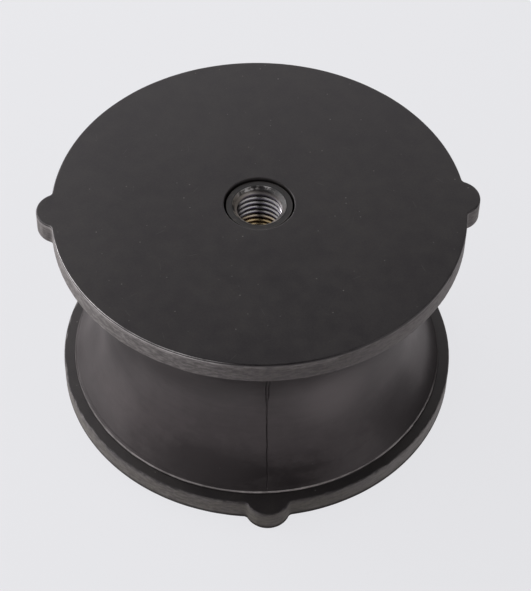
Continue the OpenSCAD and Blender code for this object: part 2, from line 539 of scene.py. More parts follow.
@dataclass(frozen=True)
class MouldedRubber:
    """Satin black rubber with a faint bloom and dark smears low down, painted shade in patches, in its groove
    and by its lower lip, patches of painted light, and a painted highlight along each lip.

    Attributes:
        body: Colour of the clean rubber.
        bloom: Colour of the bloom on it.
        smear_and_shade: Colour of the dark smears, and of the painted shade in the patches, in the parting
            groove and by the lower lip.
        crest: Colour of the painted highlight along the crest of a lip.
        speck: Colour of the specks of dust.
        roughness: Roughness of the clean rubber.
        lip_highlight_w: How far the painted highlight reaches in from the lip's edge, in millimetres.
        lip_highlight_at: Side on which the painted highlight on the lip is strongest, in degrees round the
            mount from the front.
        smeared_at: Side on which the smears are strongest, in the same way.
        smear_span: Distances from a plate between which the smears end, in millimetres.
        lip_shade_at: Sides on which painted shade lies by the lower lip, in the same way, each with its
            strength.
        lip_shade_span: Distances from the lip's edge between which that painted shade ends, in millimetres.
        sheen: Tint of the rubber's plain reflection.
        painted_patches: Soft patches of painted shade on its side.
        painted_light: Colour of the patches of painted light.
        painted_light_patches: The patches of painted light on its side.
    """

    body: Colour = (0.0285, 0.0243, 0.0250)
    bloom: Colour = (0.066, 0.0565, 0.0580)
    smear_and_shade: Colour = (0.0120, 0.0096, 0.0102)
    crest: Colour = (0.42, 0.386, 0.386)
    speck: Colour = (0.11, 0.100, 0.098)
    roughness: float = 0.37
    lip_highlight_w: float = 0.7
    lip_highlight_at: float = 0.0
    smeared_at: float = 20.0
    smear_span: tuple[float, float] = (7.0, 30.0)
    lip_shade_at: tuple[tuple[float, float], ...] = ((88.0, 1.0), (272.0, 0.6))
    lip_shade_span: tuple[float, float] = (1.5, 6.5)
    sheen: Colour = (1.0, 0.905, 0.93)
    # Patches of painted shade.
    painted_patches: tuple[PaintedPatch, ...] = (
        PaintedPatch(50.0, 19.0, 19.0, 14.0, 1.0),
        PaintedPatch(-18.0, 16.0, 30.0, 10.5, 1.0),
        PaintedPatch(-48.0, 58.0, 38.0, 13.0, 0.75),
        PaintedPatch(-69.0, 45.0, 20.0, 16.0, 0.75),
        PaintedPatch(-88.0, 22.0, 13.0, 16.0, 0.55),
    )
    painted_light: Colour = (0.122, 0.107, 0.109)
    # Patches of painted light.
    painted_light_patches: tuple[PaintedPatch, ...] = (
        PaintedPatch(24.0, 47.0, 18.0, 17.0, 0.7),
        PaintedPatch(76.0, 36.0, 18.0, 15.0, 0.6),
        PaintedPatch(-58.0, 24.0, 16.0, 12.0, 0.25),
    )

    def material(self, sizes: "MountSizes") -> bpy.types.Material:
        """Makes the rubber's material.

        Args:
            sizes: The mount's sizes, for the places of the lips.

        Returns:
            The material, which reads the mark of the parting groove.
        """
        tree = FinishTree("moulded_rubber")
        middle = sizes.height / MM / 2.0
        to_plate = middle - sizes.plate_t / MM - abs(tree.z - middle)
        from_lip = sizes.lip_r / MM - tree.radius
        groove = tree.attribute(RubberBody.GROOVE_MARK)
        clouds, blotches, grain = tree.noise(28.0, 3.0), tree.noise(5.0, 4.0, 0.6), tree.noise(0.5, 2.0)
        flow = tree.noise_at(tree.stretched(0.10, 0.10, 1.0), 1.8, 3.0, 0.6)
        specks = tree.specks(2.6, 0.28, 0.14)

        bloom = (clouds * 0.5 + blotches * 0.3 + flow * 0.2).rise(0.40, 0.64)
        smears = tree.noise_at(tree.stretched(0.4, 0.4, 1.0), 9.0, 5.0, 0.6) + flow.swing(0.2)
        smears = smears.rise(0.44, 0.60) * (1.0 - to_plate.rise(*self.smear_span))
        smears = smears * (0.2 + tree.facing(self.smeared_at).rise(0.2, 0.8) * 0.8)
        # Painted highlight along the crest of each lip, strongest at the front.
        crest = (1.0 - from_lip.rise(self.lip_highlight_w * 0.5, self.lip_highlight_w)) * to_plate.rise(0.3, 0.7)
        crest = crest * (0.6 + tree.noise(22.0, 2.0).rise(0.40, 0.62) * 0.4)
        crest = crest * (0.6 + blotches.rise(0.35, 0.6) * 0.4)
        crest = crest * (0.1 + tree.facing(self.lip_highlight_at).rise(0.15, 0.65) * 0.9)
        # Painted shade in soft patches.
        painted_shade = self.laid(self.painted_patches, tree, clouds * 0.6 + blotches * 0.4)
        # Painted shade by the lower lip's edge on the right and left sides.
        lip_shade = sum(tree.facing(side).rise(0.72, 0.95) * strength for side, strength in self.lip_shade_at)
        lip_shade = lip_shade * (1.0 - from_lip.rise(*self.lip_shade_span)) * (1.0 - (tree.z - middle).rise(-6.0, 6.0))
        # Real smears, with painted shade in the parting groove, in the patches and by the lower lip.
        dark = (smears * 0.6 + groove * 0.55 + painted_shade + lip_shade).at_most(1.0)

        colour = tree.mix(bloom * 0.5, self.body, self.bloom)
        # Painted light in soft patches.
        colour = tree.mix(self.laid(self.painted_light_patches, tree, clouds), colour, self.painted_light)
        colour = tree.mix(dark, colour, self.smear_and_shade)
        colour = tree.mix(specks * 0.45, colour, self.speck)
        # Painted highlight on the lips' crests.
        colour = tree.mix(crest, colour, self.crest)
        roughness = self.roughness + clouds.swing(0.12) + blotches.swing(0.12)
        roughness = roughness - smears * 0.04 + painted_shade * 0.2 + lip_shade * 0.35
        relief = grain * 0.014 + blotches * 0.02 + flow * 0.02
        return tree.surface(
            Base_Color=colour, Roughness=roughness, Normal=tree.relief(relief),
            Specular_Tint=tree.opaque(self.sheen),
        )

    @staticmethod
    def laid(painted_patches: tuple[PaintedPatch, ...], tree: FinishTree, uneven: Term) -> Term:
        """Lays soft patches on the rubber, of painted shade and of painted light.

        Args:
            painted_patches: The patches.
            tree: The rubber's tree.
            uneven: Noise for the patches' edges.

        Returns:
            A mask of how strong the patches are, from 0 to 1.
        """
        angle = tree.maths("ARCTAN2", tree.x, -tree.y)
        total = 0.0 * tree.z
        for patch in painted_patches:
            across = (angle - math.radians(patch.azimuth)) * tree.radius / patch.half_w
            upward = (tree.z - patch.height) / patch.half_h
            away = tree.maths("SQRT", across * across + upward * upward) + uneven.swing(0.8)
            total = total + (1.0 - away.rise(0.2, 1.3)) * patch.strength
        return total.at_most(1.0)


@dataclass(frozen=True)
class TurnedSteel:
    """Turned steel with a coated face, passivated silver and violet near the mouth and gold further down.

    Attributes:
        silver: Colour of the thread's flanks near the mouth, also painted on the chamfer as a highlight.
        violet: Colour of the thread's crests there.
        gold: Colour of the flanks further down.
        brown: Colour of the crests there.
        thread_shade: Colour of the painted shade in the thread's roots, on its shaded side and on its lit
            side near the mouth.
        worn: Colour of the chamfer at the mouth, also painted faintly along the pilot's rim as light.
        coat: Colour of the coat on the pilot's face.
        seam: Colour of the dirt along the chamfer's edge.
        roughness: Roughness of the steel.
        coat_roughness: Roughness of the coat.
        gold_span: Depths below the pilot's face between which the gold sets in, in millimetres.
        shaded_side_at: Middle of the thread's side that is painted in shade, in degrees round the mount from
            the front.
        chamfer_highlight_at: Middle of the chamfer's side with the painted highlight, in the same way.
    """

    silver: Colour = (0.60, 0.575, 0.575)
    violet: Colour = (0.20, 0.175, 0.34)
    gold: Colour = (0.70, 0.53, 0.30)
    brown: Colour = (0.22, 0.115, 0.035)
    thread_shade: Colour = (0.05, 0.042, 0.046)
    worn: Colour = (0.31, 0.268, 0.232)
    coat: Colour = (0.0185, 0.0160, 0.0168)
    seam: Colour = (0.004, 0.0032, 0.0030)
    roughness: float = 0.22
    coat_roughness: float = 0.42
    gold_span: tuple[float, float] = (12.5, 17.5)
    shaded_side_at: float = 290.0
    chamfer_highlight_at: float = 185.0

    def material(self, sizes: "MountSizes", insert: "ThreadedInsert") -> bpy.types.Material:
        """Makes the inserts' material.

        Args:
            sizes: The mount's sizes, for the places of the pilots' faces.
            insert: An insert, for the places of the thread and its mouth.

        Returns:
            The material.
        """
        tree = FinishTree("turned_steel")
        middle = sizes.height / MM / 2.0
        depth = middle - sizes.insert_face / MM - abs(tree.z - middle)
        from_core = tree.radius - sizes.core_r / MM
        chamfer, pilot = insert.mouth_chamfer / MM, insert.pilot_wall / MM
        cut = insert.thread_depth / MM
        turning = tree.noise_at(tree.join(tree.radius, 0.0, tree.z), 0.22, 2.0, 0.6)
        patches, grain = tree.noise(3.2, 3.0), tree.noise(0.4, 2.0)

        below = depth.rise(chamfer * 0.75, chamfer * 1.05)
        outside = from_core.rise((chamfer + pilot) / 2.0 - 0.1, (chamfer + pilot) / 2.0 + 0.1)
        on_chamfer = (1.0 - from_core.rise(chamfer, chamfer + 0.2)) * (1.0 - below)
        mouth = 1.0 - depth.rise(chamfer * 1.1, chamfer * 2.4)
        worn = (patches * 0.7 + turning * 0.3 + on_chamfer * 0.11).rise(0.54, 0.68)
        coated = ((1.0 - below) + outside).at_most(1.0) * (1.0 - worn * (0.2 + on_chamfer * 0.6))
        pilot_edge = from_core.rise(pilot - 0.8, pilot - 0.2) * (1.0 - below)
        step = 1.0 - abs(from_core - (chamfer + 0.3)).rise(0.15, 0.4)
        gilt = (depth + patches.swing(6.0)).rise(*self.gold_span)
        crest = 1.0 - from_core.rise(0.06, 0.34)
        root = from_core.rise(cut * 0.62, cut)
        lit = tree.facing(self.shaded_side_at + 180.0).rise(0.0, 0.5)
        shaded = tree.facing(self.shaded_side_at).rise(-0.05, 0.7) * (0.8 + crest * 0.15)
        chamfer_highlight = tree.facing(self.chamfer_highlight_at).rise(0.55, 0.9) * on_chamfer * patches.rise(0.40, 0.58)
        # The crests' violet tint, painted weaker on the lit side as light.
        tinted = crest * (0.45 + patches.rise(0.42, 0.60) * 0.5) * (1.0 - lit * 0.2)

        colour = tree.mix(gilt, self.silver, self.gold)
        colour = tree.mix(tinted, colour, tree.mix(gilt, self.violet, self.brown))
        # Painted shade in the thread's roots.
        colour = tree.mix(root * 0.8 + grain.swing(0.1), colour, self.thread_shade)
        # Painted shade on the thread's left side.
        colour = tree.mix(shaded, colour, self.thread_shade)
        colour = tree.mix((on_chamfer * 0.8).at_least(mouth * 0.7), colour, self.worn)
        # Painted shade on the lit side near the mouth, which tones down its highlight.
        colour = tree.mix(lit * (1.0 - depth.rise(chamfer, chamfer * 3.5)) * 0.8, colour, self.thread_shade)
        # Painted highlight in patches on the back of the chamfer.
        colour = tree.mix(chamfer_highlight, colour, self.silver)
        # The coat on the pilot's face, with faint painted light along its rim.
        colour = tree.mix(coated, colour, tree.mix(pilot_edge * 0.06, self.coat, self.worn))
        colour = tree.mix(step * (1.0 - below) * 0.8, colour, self.seam)
        roughness = self.roughness + mouth * (0.2 + lit * 0.25) + patches.swing(0.12) + turning.swing(0.10)
        roughness = roughness + (self.coat_roughness - roughness) * coated
        metal = (1.0 - coated) * (1.0 - crest * 0.55) * (1.0 - on_chamfer.at_least(mouth) * 0.75)
        relief = turning * 0.015 + grain * 0.006
        return tree.surface(
            Base_Color=colour, Roughness=roughness, Metallic=metal, Normal=tree.relief(relief)
        )


@dataclass(frozen=True)
class PaleFloor:
    """Matt pale floor that keeps its tone for the camera and in reflections, with a soft shadow on it.

    Attributes:
        tone: The floor's tone for the camera.
        paint: The floor's own colour, which lights and reflections take.
        even_share: How far the floor keeps its tone for the camera.
        mirrored_share: How far it keeps its tone in reflections.
    """

    tone: Colour = (0.816, 0.816, 0.842)
    paint: Colour = (0.830, 0.804, 0.820)
    even_share: float = 0.90
    mirrored_share: float = 0.6

    def material(self) -> bpy.types.Material:
        """Makes the floor's material.

        Returns:
            The material: lit paint, mixed with its own even tone for the rays that show it.
        """
        tree = FinishTree("pale_floor")
        rays = tree.node("ShaderNodeLightPath")
        mirrored = tree.term(rays, "Is Glossy Ray").at_least(tree.term(rays, "Is Transmission Ray"))
        seen = tree.term(rays, "Is Camera Ray")
        even = (seen * self.even_share).at_least(mirrored * self.mirrored_share)
        tone = tree.mix(seen, self.paint, self.tone)
        paint = tree.node("ShaderNodeBsdfDiffuse", inputs={"Color": tone, "Roughness": 0.4})
        glow = tree.node("ShaderNodeEmission", inputs={"Color": tone, "Strength": 1.0})
        mixed = tree.node("ShaderNodeMixShader", inputs={
            "Fac": even,
            "Shader": tree.term(paint, "BSDF"),
            "Shader_001": tree.term(glow, "Emission"),
        })
        tree.node("ShaderNodeOutputMaterial", inputs={"Surface": tree.term(mixed, "Shader")})
        return tree.material


@dataclass(frozen=True)
class MountSizes:
    """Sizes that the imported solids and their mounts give, in metres."""

    height: float
    plate_t: float
    plate_r: float
    ear_tip: float
    lip_r: float
    shoulder_r: float
    insert_face: float
    insert_end: float
    core_r: float

    @classmethod
    def from_frame(cls, record: dict[str, Any]) -> "MountSizes":
        """Reads the sizes.

        Args:
            record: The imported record, for the thread's core.

        Returns:
            The sizes.
        """
        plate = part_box("bottom_plate")[1]
        insert_low, insert_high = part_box("bottom_threaded_insert")
        thread = next(m for m in record["mounts"] if m["name"] == "bottom_thread")
        return cls(
            height=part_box("top_plate")[1].z,
            plate_t=plate.z,
            plate_r=plate.x,
            ear_tip=plate.y,
            lip_r=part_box("rubber_body")[1].x,
            shoulder_r=insert_high.x,
            insert_face=insert_low.z,
            insert_end=insert_high.z,
            core_r=thread["dims"]["r_mm"] * MM,
        )


class LatheTree(Tree):
    """A Geometry Nodes tree that turns strips of a section round the mount's axis into a closed mesh."""

    SAME_PLACE = 0.002 * MM

    def __init__(self, name: str, columns: int, crowding: float = 0.0) -> None:
        """Starts the tree.

        Args:
            name: The tree's name.
            columns: How many faces go once round.
            crowding: How much closer the columns stand at the front and the back, from 0 to below 1.
        """
        super().__init__(bpy.data.node_groups.new(name, "GeometryNodeTree"))
        self.group.interface.new_socket("Mesh", in_out="OUTPUT", socket_type="NodeSocketGeometry")
        self.entry = self.node("NodeGroupInput")
        self.values: dict[str, Any] = {}
        self.strips: list[Term] = []
        self.columns = self.size("Columns", columns + 1)
        self.place = self.term(self.node("GeometryNodeInputPosition"), "Position")
        across, upward, _ = self.split(self.place)
        self.turn, self.along = across + 0.5, upward + 0.5
        angle = self.turn * math.tau
        crowd = self.size("Crowding", crowding)
        self.angle = angle + crowd * 0.5 * (angle * 2.0).sin()

    def size(self, name: str, value: Any) -> Term:
        """Adds a named input.

        Args:
            name: The input's name.
            value: What the modifier gives it: a whole number, a length, a vector or a material.

        Returns:
            The input.
        """
        kinds = {int: "Int", float: "Float", tuple: "Vector"}
        kind = "NodeSocket" + kinds.get(type(value), "Material")
        item = self.group.interface.new_socket(name, in_out="INPUT", socket_type=kind)
        self.values[item.identifier] = value
        return self.term(self.entry, item.identifier)

    def strip(self, rows: Number, radius: Number, height: Number) -> None:
        """Adds a strip of the section, turned once round.

        Args:
            rows: How many points lie along the strip.
            radius: The distance from the axis, as an expression on self.along and self.turn.
            height: The height above the bottom face, in the same way.
        """
        grid = self.node("GeometryNodeMeshGrid", inputs={
            "Size X": 1.0, "Size Y": 1.0, "Vertices X": self.columns, "Vertices Y": rows
        })
        place = self.join(radius * self.angle.cos(), radius * self.angle.sin(), height)
        moved = self.node("GeometryNodeSetPosition", inputs={
            "Geometry": self.term(grid, "Mesh"), "Position": place
        })
        self.strips.append(self.term(moved, "Geometry"))

    def straight(self, *corners: tuple[Number, Number], rows: int = 2) -> None:
        """Adds a straight strip between each two corners, given as radius and height."""
        for (radius, height), (next_radius, next_height) in zip(corners, corners[1:]):
            self.strip(
                rows,
                radius + (next_radius - radius) * self.along,
                height + (next_height - height) * self.along,
            )

    def joined(self) -> Term:
        """Joins the strips into one closed mesh."""
        joined = self.node("GeometryNodeJoinGeometry", inputs={"Geometry": self.strips})
        merged = self.node("GeometryNodeMergeByDistance", inputs={
            "Geometry": self.term(joined, "Geometry"), "Distance": self.SAME_PLACE
        })
        return self.term(merged, "Geometry")

    def shifted(self, mesh: Term, offset: Term) -> Term:
        """Moves every point of a mesh by an offset."""
        moved = self.node("GeometryNodeSetPosition", inputs={"Geometry": mesh, "Offset": offset})
        return self.term(moved, "Geometry")

    def marked(self, mesh: Term, name: str, value: Term) -> Term:
        """Stores a number at every point of a mesh under a name."""
        made = self.node("GeometryNodeStoreNamedAttribute", {"data_type": "FLOAT", "domain": "POINT"}, {
            "Geometry": mesh, "Name": name, "Value": value
        })
        return self.term(made, "Geometry")

    def piece(self, name: str, mesh: Term, material: bpy.types.Material, sharp: float) -> bpy.types.Object:
        """Ends the tree and runs it.

        Args:
            name: The piece's name.
            mesh: What the tree gives.
            material: The piece's material.
            sharp: The angle, in degrees, past which an edge stays sharp.

        Returns:
            A plain mesh object.
        """
        whole = self.term(self.node("GeometryNodeRealizeInstances", inputs={"Geometry": mesh}), "Geometry")
        dressed = self.node("GeometryNodeSetMaterial", inputs={
            "Geometry": whole, "Material": self.size("Material", material)
        })
        self.node("NodeGroupOutput", inputs={"Mesh": self.term(dressed, "Geometry")})
        piece = bpy.data.objects.new(name, bpy.data.meshes.new(name + "_start"))
        bpy.context.scene.collection.objects.link(piece)
        modifier = piece.modifiers.new("shape", "NODES")
        modifier.node_group = self.group
        for identifier, value in self.values.items():
            modifier[identifier] = value
        depsgraph = bpy.context.evaluated_depsgraph_get()
        made = bpy.data.meshes.new_from_object(piece.evaluated_get(depsgraph), depsgraph=depsgraph)
        piece.modifiers.remove(modifier)
        made.name = name
        made.shade_smooth()
        made.set_sharp_from_angle(angle=math.radians(sharp))
        piece.data = made
        return piece


def put_on_mount(piece: bpy.types.Object, node: str) -> None:
    """Lets a piece stand for a solid.

    Args:
        piece: The finished piece.
        node: The solid's name.
    """
    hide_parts(node)
    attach(piece, BODY)
    LOG.info("%s: %d faces, stands for %s", piece.name, len(piece.data.polygons), node)


class Mark(Enum):
    """The marks that a plate's mesh carries for its coat, each from 0 to 1 at every point."""

    WALL = "wall"
    EDGE = "edge"
    TORN = "torn"
    STRIP = "strip"
    # The hole's wall, painted dark as shade.
    HOLE = "hole"


@dataclass(frozen=True)
class Arc:
    """A round stretch of a plate's outline. On a hollow stretch the metal lies outside the circle."""

    centre: complex
    radius: float
    start: float
    stop: float
    points: int
    hollow: bool = False


@dataclass(frozen=True)
class Ring:
    """One ring of points on a plate, between its outline and its hole.

    Attributes:
        inset: How far the ring lies inside the outline.
        depth: How far it lies below the plate's outer face.
        to_hole: Its share of the way from the outline to the hole.
        spread: How far it lies outside the hole's wall.
        wall: Its mark as a sheared wall.
        edge: Its mark as the smooth edge of the outer face.
        torn: Its mark as the torn edge of the inner face.
        hole: Its mark as the grimy wall of the hole.
    """

    inset: float
    depth: float
    to_hole: float = 0.0
    spread: float = 0.0
    wall: float = 0.0
    edge: float = 0.0
    torn: float = 0.0
    # hole: Its mark as the wall of the hole that is painted dark as shade.
    hole: float = 0.0


class Unevenness:
    """Smooth waves and small dents along a closed outline, the same on each run."""

    def __init__(self, seed: int) -> None:
        """Starts the draw of random numbers."""
        self.draw = np.random.default_rng(seed)

    def waves(self, run: np.ndarray, slowest: int, fastest: int, count: int) -> np.ndarray:
        """Adds up waves.

        Args:
            run: Places along the outline, from 0 to 1.
            slowest: The fewest waves in one round.
            fastest: The most waves in one round.
            count: How many waves are added up.

        Returns:
            The sum at each place, from 0 to 1.
        """
        total = np.zeros_like(run)
        for turns in self.draw.integers(slowest, fastest, count):
            total += np.sin(math.tau * (run * turns + self.draw.random()))
        return 0.5 + 0.5 * np.tanh(total / math.sqrt(count))

    def dents(self, run: np.ndarray, count: int, narrow: float, wide: float) -> np.ndarray:
        """Scatters dents.

        Args:
            run: Places along the outline, from 0 to 1.
            count: How many dents there are.
            narrow: The narrowest dent's half width, as a share of the outline.
            wide: The widest dent's half width.

        Returns:
            The deepest dent at each place, from 0 to 1.
        """
        deepest = np.zeros_like(run)
        for middle in self.draw.random(count):
            width, depth = self.draw.uniform(narrow, wide), self.draw.uniform(0.3, 1.0)
            apart = np.abs((run - middle + 0.5) % 1.0 - 0.5)
            deepest = np.maximum(deepest, depth * np.exp(-((apart / width) ** 2)))
        return deepest


@dataclass
class EndPlate:
    """A blanked steel plate with two ears and a plain hole, its outer edge smooth and its inner edge torn.

    Attributes:
        end: Which end of the mount it closes.
        sizes: The mount's sizes.
        seed: Start of the random draw.
        ear_r: Radius of an ear's round end.
        blend_r: Radius of the blend between an ear and the rim.
        hole_r: Radius of the hole around the insert's pilot.
        outer_round: How far the outer face's edge is rounded inwards.
        outer_drop: How far it is rounded down the wall.
        inner_round: Rounding of the inner face's edge.
        hole_round: Rounding of the hole's edges.
        hole_clean: How far down the hole's wall is free of the painted shade.
        hole_wall: Mark as a wall on that clean part of the hole.
        support: How far a flat face's last ring lies from a rounding.
        wall_wave: How far the sheared wall waves inwards.
        dent_depth: The deepest dent along the outer edge.
        tear_depth: The deepest tear along the inner edge.
        strip_share: Share of the wall that the punch has polished, before its waves.
        strip_wave: How far that share waves.
        strip_fade: How soft the end of the polished strip is, as a share of the wall.
        dents: How many dents the outer edge has.
        dent_widths: Half widths of the narrowest and the widest dent, as shares of the outline.
        tears: How many tears the inner edge has.
        tear_widths: Half widths of the narrowest and the widest tear, in the same way.
        rim_points: How many points lie along half the rim.
        ear_points: How many points lie along an ear.
        blend_points: How many points lie along a blend.
        round_steps: How many steps a rounding has.
        wall_rows: How many rings the wall has between its roundings.
        bare_at: Turns of the outer rounding at which its coat is rubbed off, from the face on, in radians.
        bare_spread: Half width of such a line, in radians.
    """

    end: End
    sizes: MountSizes
    seed: int
    ear_r: float = 9.0 * MM
    blend_r: float = 2.0 * MM
    hole_r: float = 13.7 * MM
    outer_round: float = 0.45 * MM
    outer_drop: float = 1.15 * MM
    inner_round: float = 0.6 * MM
    hole_round: float = 0.12 * MM
    hole_clean: float = 0.85 * MM
    hole_wall: float = 0.3
    support: float = 0.35 * MM
    wall_wave: float = 0.07 * MM
    dent_depth: float = 0.2 * MM
    tear_depth: float = 0.24 * MM
    strip_share: float = 0.26
    strip_wave: float = 0.22
    strip_fade: float = 0.1
    dents: int = 46
    dent_widths: tuple[float, float] = (0.0012, 0.006)
    tears: int = 130
    tear_widths: tuple[float, float] = (0.0010, 0.005)
    rim_points: int = 440
    ear_points: int = 44
    blend_points: int = 10
    round_steps: int = 10
    wall_rows: int = 11
    bare_at: tuple[float, ...] = (math.radians(30.0), math.radians(84.0))
    bare_spread: float = math.radians(14.0)

    def outline(self) -> list[Arc]:
        """Works out the plate's outline, with its ears along the X axis.

        Returns:
            The arcs counter-clockwise: the way onto an ear, the ear, the way off it and half the rim, twice.
        """
        rim = self.sizes.plate_r
        ear_x = self.sizes.ear_tip - self.ear_r
        orbit, reach = rim + self.blend_r, self.ear_r + self.blend_r
        away = math.acos((orbit**2 + ear_x**2 - reach**2) / (2.0 * orbit * ear_x))
        blend = orbit * complex(math.cos(away), math.sin(away))
        lean = math.atan2(blend.imag, blend.real - ear_x)
        arcs = []
        for turn in (0.0, math.pi):
            way, half = complex(math.cos(turn), math.sin(turn)), turn + math.pi
            arcs += [
                Arc(way * blend.conjugate(), self.blend_r, half - away, half - lean, self.blend_points, True),
                Arc(way * ear_x, self.ear_r, turn - lean, turn + lean, self.ear_points),
                Arc(way * blend, self.blend_r, half + lean, half + away, self.blend_points, True),
                Arc(0j, rim, turn + away, half - away, self.rim_points),
            ]
        return arcs

    def rings(self) -> list[Ring]:
        """Lists the rings of points, from the hole over the outer face, the wall and the inner face and back.

        Returns:
            The rings in order. The last one joins the first.
        """
        thick, outer, inner = self.sizes.plate_t, self.outer_round, self.inner_round
        steps = [math.pi / 2.0 * step / self.round_steps for step in range(self.round_steps + 1)]
        corner = [(1.0 - math.cos(a), 1.0 - math.sin(a)) for a in (0.0, math.pi / 4.0, math.pi / 2.0)]
        corner = [(self.hole_round * x, self.hole_round * y) for x, y in corner]
        rings = [
            # The hole's wall below hole_clean is painted dark as shade.
            Ring(0.0, self.hole_clean * 1.3, 1.0, hole=1.0),
            Ring(0.0, self.hole_clean, 1.0, wall=self.hole_wall),
        ]
        rings += [Ring(0.0, y, 1.0, x, wall=0.0 if x else self.hole_wall) for x, y in corner]
        rings += self.face(0.0, outer)
        rings += [
            Ring(outer * (1.0 - math.sin(a)), self.outer_drop * (1.0 - math.cos(a)),
                 wall=math.sin(a) ** 20, edge=self.bareness(a))
            for a in steps[1:-1]
        ]
        rings.append(Ring(0.0, self.outer_drop, wall=1.0, edge=self.bareness(steps[-1])))
        rings += [
            Ring(0.0, depth, wall=1.0)
            for depth in np.linspace(self.outer_drop + self.support, thick - inner, self.wall_rows)
        ]
        rings += [
            Ring(inner * (1.0 - math.sin(a)), thick - inner * (1.0 - math.cos(a)),
                 wall=math.sin(a) ** 2, torn=math.sin(2.0 * a) ** 0.5)
            for a in reversed(steps[1:-1])
        ]
        rings += reversed(self.face(thick, inner))
        rings += [Ring(0.0, thick - y, 1.0, x, hole=1.0) for x, y in reversed(corner)]
        return rings

    def bareness(self, turn: float) -> float:
        """Tells how bare the outer rounding is.

        Args:
            turn: How far the rounding has turned from the face, in radians.

        Returns:
            A number from 0 to 1, with a peak at each bare line.
        """
        return max(math.exp(-((turn - line) / self.bare_spread) ** 2) for line in self.bare_at)

    def face(self, depth: float, rounding: float) -> list[Ring]:
        """Lists a face's rings from the hole outwards.

        Args:
            depth: The face's depth below the outer face.
            rounding: The rounding of the face's edge.

        Returns:
            The rings, from close to the hole's rounding to the start of the edge's.
        """
        return [
            Ring(0.0, depth, 1.0, self.hole_round + self.support),
            Ring(4.0 * rounding, depth, 0.66),
            Ring(4.0 * rounding, depth, 0.33),
            Ring(4.0 * rounding, depth),
            Ring(rounding + self.support, depth),
            Ring(rounding, depth),
        ]

    def points(self) -> tuple[np.ndarray, dict[Mark, np.ndarray]]:
        """Works out the place and the marks of every point.

        Returns:
            The places, by ring, point and axis, and each mark's values, by ring and point.
        """
        arcs = self.outline()
        angles = np.concatenate([np.linspace(a.start, a.stop, a.points, endpoint=False) for a in arcs])
        centres, radii, sides = (
            np.concatenate([np.full(a.points, value(a)) for a in arcs])
            for value in (lambda a: a.centre, lambda a: a.radius, lambda a: -1.0 if a.hollow else 1.0)
        )
        ways = np.exp(1j * angles)
        rim = centres + ways * radii
        to_centre = rim / np.abs(rim)
        steps = np.abs(np.roll(rim, -1) - rim)
        run = (np.cumsum(steps) - steps) / steps.sum()
        uneven = Unevenness(self.seed)
        slow = uneven.waves(run, 6, 40, 9)
        dents = uneven.dents(run, self.dents, *self.dent_widths)
        tears = uneven.dents(run, self.tears, *self.tear_widths)
        strip_end = self.strip_share + self.strip_wave * (uneven.waves(run, 3, 60, 14) - 0.5)
        rings, thick = self.rings(), self.sizes.plate_t
        places = np.zeros((len(rings), len(run), 3))
        marks = {mark: np.zeros((len(rings), len(run))) for mark in Mark}
        for row, ring in enumerate(rings):
            dent, tear = dents * self.dent_depth * ring.edge**2, tears * self.tear_depth * ring.torn**2
            fast = uneven.waves(run, 30, 220, 24)
            inset = ring.inset + dent + tear + self.wall_wave * ring.wall * (0.5 * slow + 0.5 * fast)
            outer = centres + ways * (radii - sides * inset)
            flat = outer * (1.0 - ring.to_hole) + to_centre * (self.hole_r + ring.spread) * ring.to_hole
            places[row] = np.stack([flat.real, flat.imag, ring.depth + 0.7 * (dent - tear)], axis=1)
            for mark in (Mark.WALL, Mark.EDGE, Mark.TORN, Mark.HOLE):
                marks[mark][row] = getattr(ring, mark.value)
            on_strip = np.clip((strip_end - ring.depth / thick) / self.strip_fade + 0.5, 0.0, 1.0)
            marks[Mark.STRIP][row] = ring.wall * on_strip
        return places, marks

    def build(self, name: str, material: bpy.types.Material) -> bpy.types.Object:
        """Makes the plate's mesh.

        Args:
            name: The piece's name.
            material: The plate's coat.

        Returns:
            The finished piece.
        """
        places, marks = self.points()
        if self.end is End.TOP:
            places[:, :, 2] = self.sizes.height - places[:, :, 2]
        else:
            places = np.stack([-places[:, :, 1], places[:, :, 0], places[:, :, 2]], axis=2)
        count, around = places.shape[:2]
        at = np.arange(count * around).reshape(count, around)
        right, below = np.roll(at, -1, axis=1), np.roll(at, -1, axis=0)
        corners = [at, below, np.roll(below, -1, axis=1), right]
        if self.end is End.BOTTOM:
            corners.reverse()
        faces = np.stack(corners, axis=2).reshape(-1, 4)
        mesh = bpy.data.meshes.new(name)
        mesh.from_pydata(places.reshape(-1, 3).tolist(), [], faces.tolist())
        for mark, values in marks.items():
            data = mesh.attributes.new(mark.value, "FLOAT", "POINT").data
            data.foreach_set("value", values.ravel().astype(np.float32))
        mesh.materials.append(material)
        mesh.shade_smooth()
        piece = bpy.data.objects.new(name, mesh)
        bpy.context.scene.collection.objects.link(piece)
        return piece


